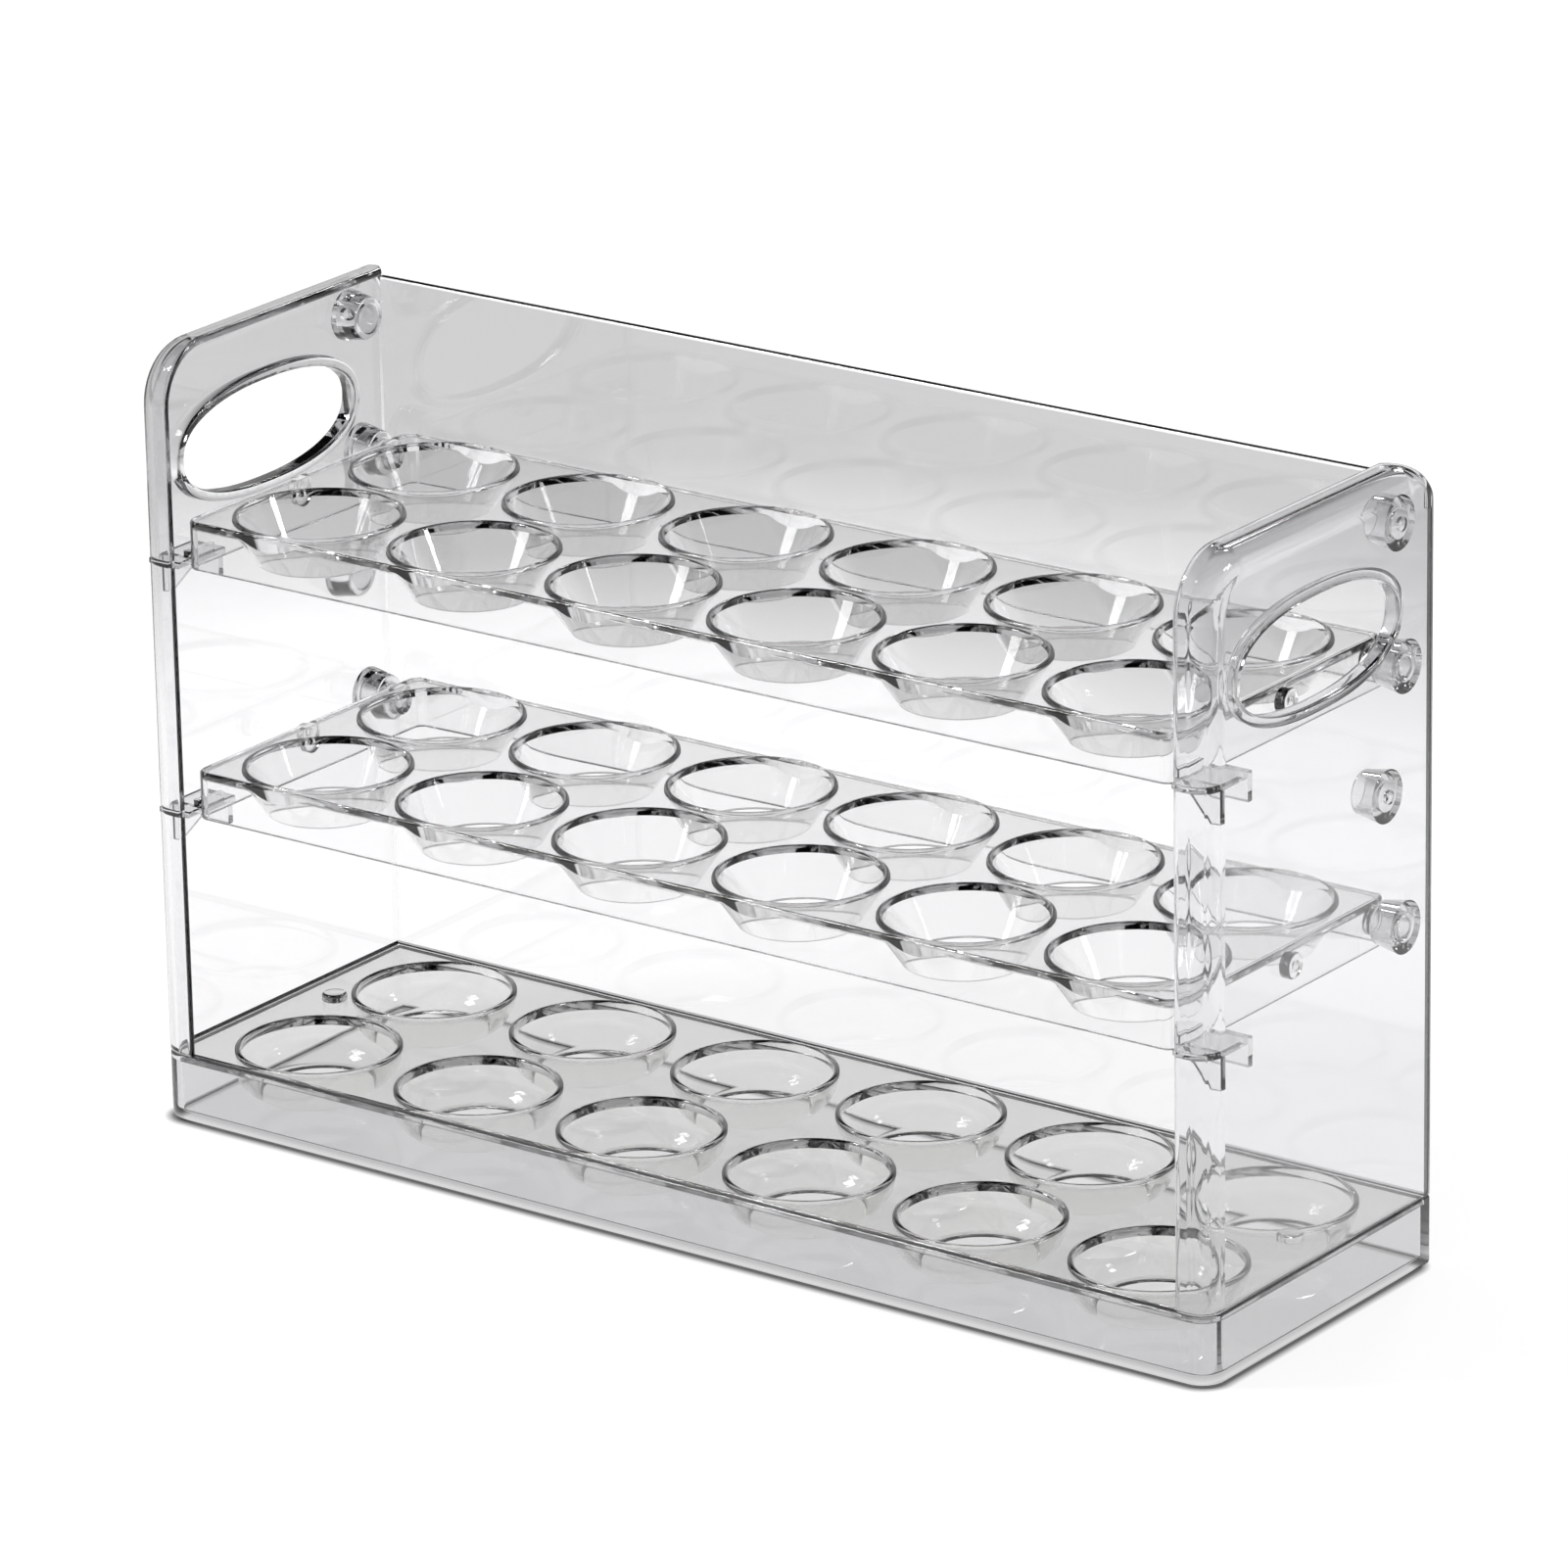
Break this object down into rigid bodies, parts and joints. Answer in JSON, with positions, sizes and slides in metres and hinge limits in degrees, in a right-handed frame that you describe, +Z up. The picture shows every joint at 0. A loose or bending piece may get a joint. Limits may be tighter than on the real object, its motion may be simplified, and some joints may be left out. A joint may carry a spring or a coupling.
{
  "type": "egg storage container",
  "caption": "Clear plastic egg holder in tiers: a fixed bottom plate and two trays of open cups that flip up on pins between side panels with finger holes.",
  "frame": {"origin": "middle of the underside of the base", "axes": "+Z up, +X along the length to the right, -Y towards the open front"},
  "size_m": [0.323, 0.0974, 0.2065],
  "materials": {
    "clear_base_box": "clear polished injection moulding",
    "clear_bottom_egg_plate": "clear polished injection moulding",
    "clear_back_panel": "clear polished injection moulding",
    "clear_left_side_panel": "clear polished injection moulding",
    "clear_right_side_panel": "clear polished injection moulding",
    "clear_middle_flip_tray": "clear polished injection moulding",
    "clear_top_flip_tray": "clear polished injection moulding"
  },
  "bodies": {
    "housing": {"base_box": "clear_base_box", "bottom_egg_plate": "clear_bottom_egg_plate", "back_panel": "clear_back_panel", "left_side_panel": "clear_left_side_panel", "right_side_panel": "clear_right_side_panel"},
    "middle_tray": {"middle_flip_tray": "clear_middle_flip_tray"},
    "top_tray": {"top_flip_tray": "clear_top_flip_tray"}
  },
  "joints": [
    {"name": "top_tray_flip", "type": "hinge", "parent": "housing", "child": "top_tray", "pos_m": [0, 0.0375, 0.1574], "axis": [-1, 0, 0], "range_deg": [0, 84.9]},
    {"name": "middle_tray_flip", "type": "hinge", "parent": "housing", "child": "middle_tray", "pos_m": [0, 0.0375, 0.091], "axis": [-1, 0, 0], "range_deg": [0, 76.9]}
  ],
  "couplings": [
    {"joint": "middle_tray_flip", "follows": "top_tray_flip", "ratio": 0.90577}
  ]
}
